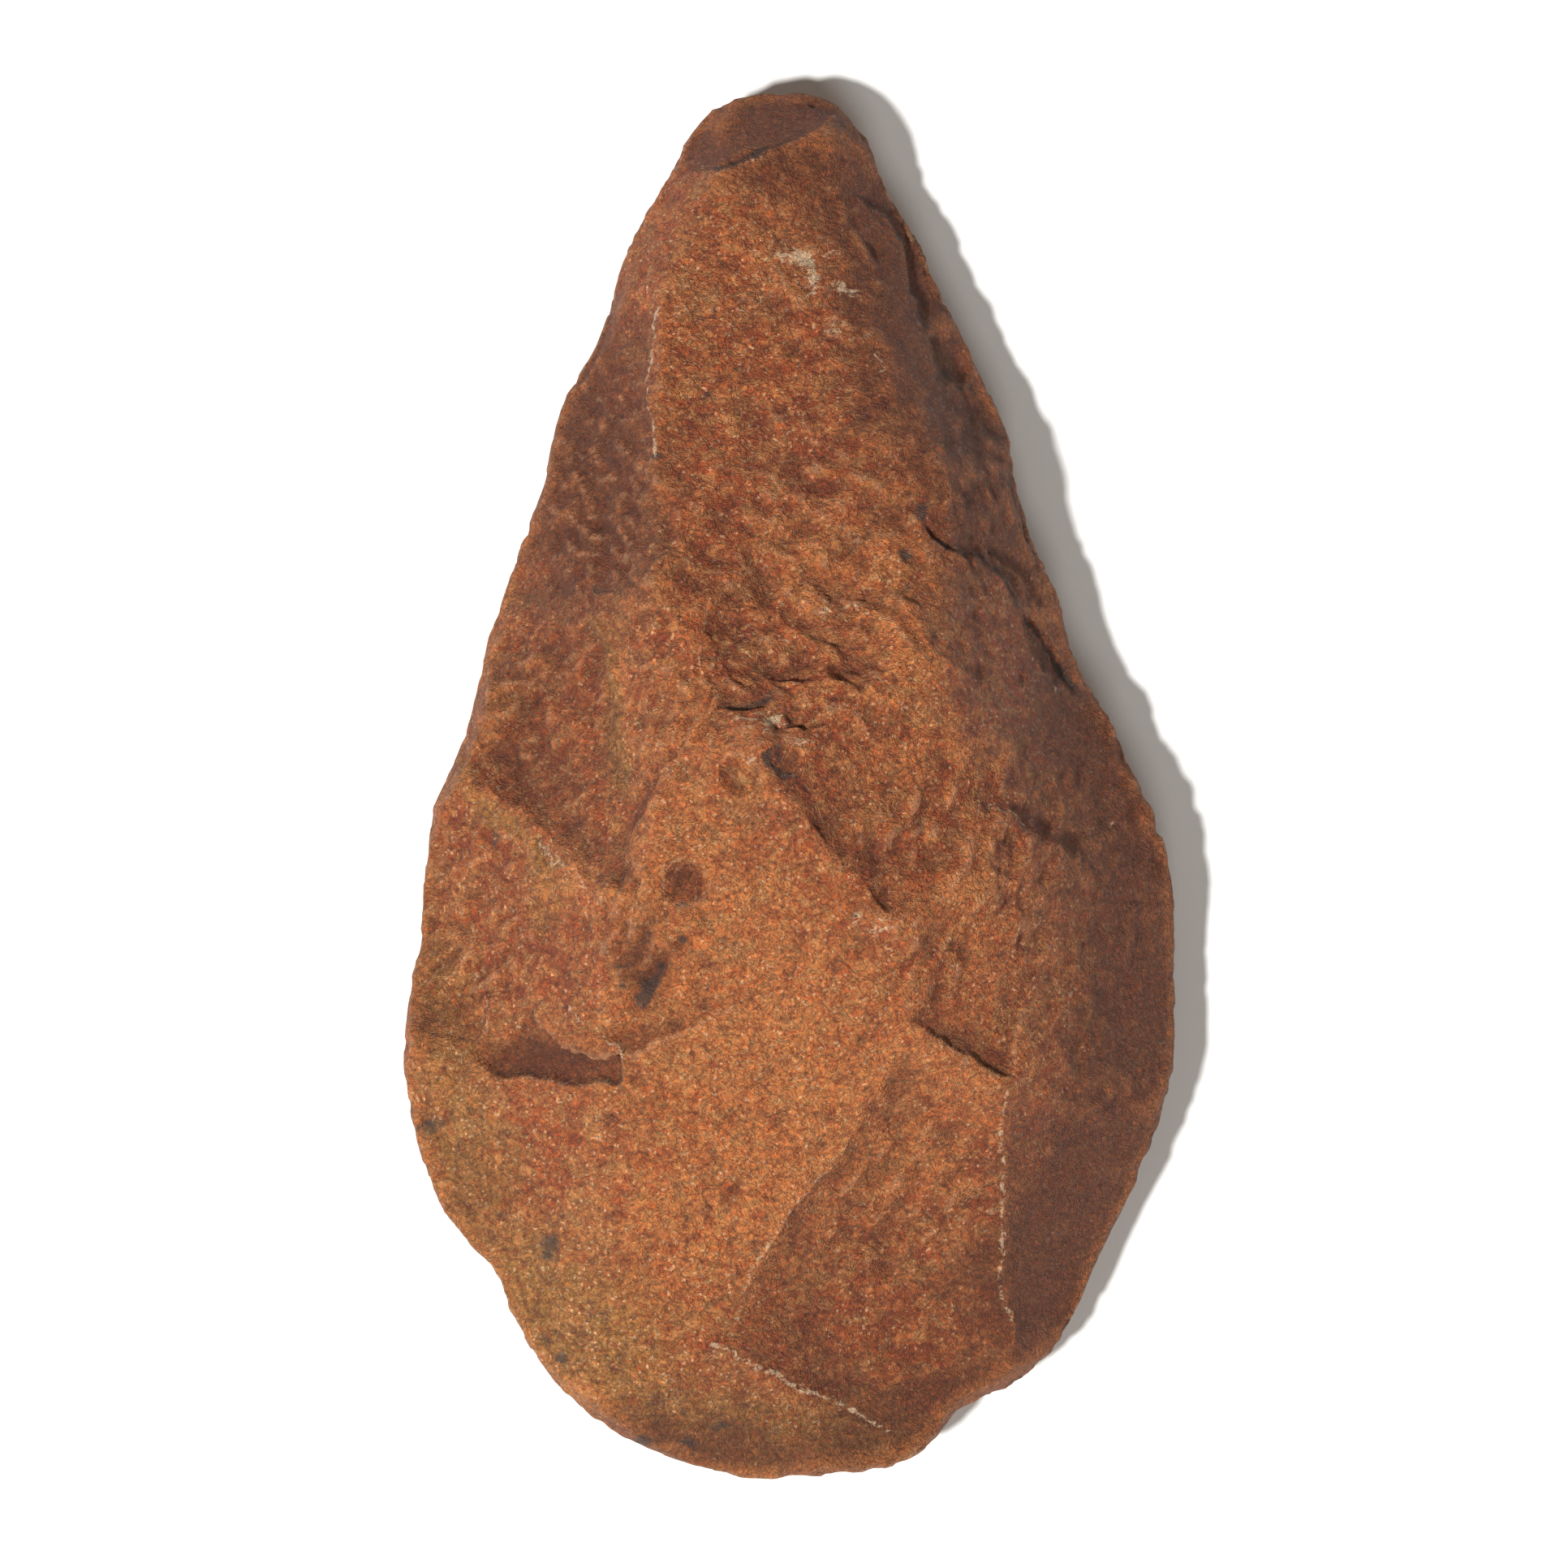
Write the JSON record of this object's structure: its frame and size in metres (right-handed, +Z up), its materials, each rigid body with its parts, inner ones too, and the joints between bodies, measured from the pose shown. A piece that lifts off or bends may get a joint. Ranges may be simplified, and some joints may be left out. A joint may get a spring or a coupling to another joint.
{
  "type": "stone hand axe",
  "caption": "Flaked stone hand axe: a tear-shaped biface with a narrow blunt tip, a broad rounded butt, a domed upper face and a flatter underside.",
  "frame": {"origin": "middle of the bounding box at the surface that the stone lies on", "axes": "+Y towards the tip, +Z up out of the domed face, +X to the right when the domed face is looked down on with the tip ahead"},
  "size_m": [0.1005, 0.18, 0.0405],
  "materials": {
    "quartzite": "flaked and weathered, matt, with ochre and grey-black stains"
  },
  "bodies": {
    "root": {"stone_hand_axe": "quartzite"}
  },
  "joints": []
}
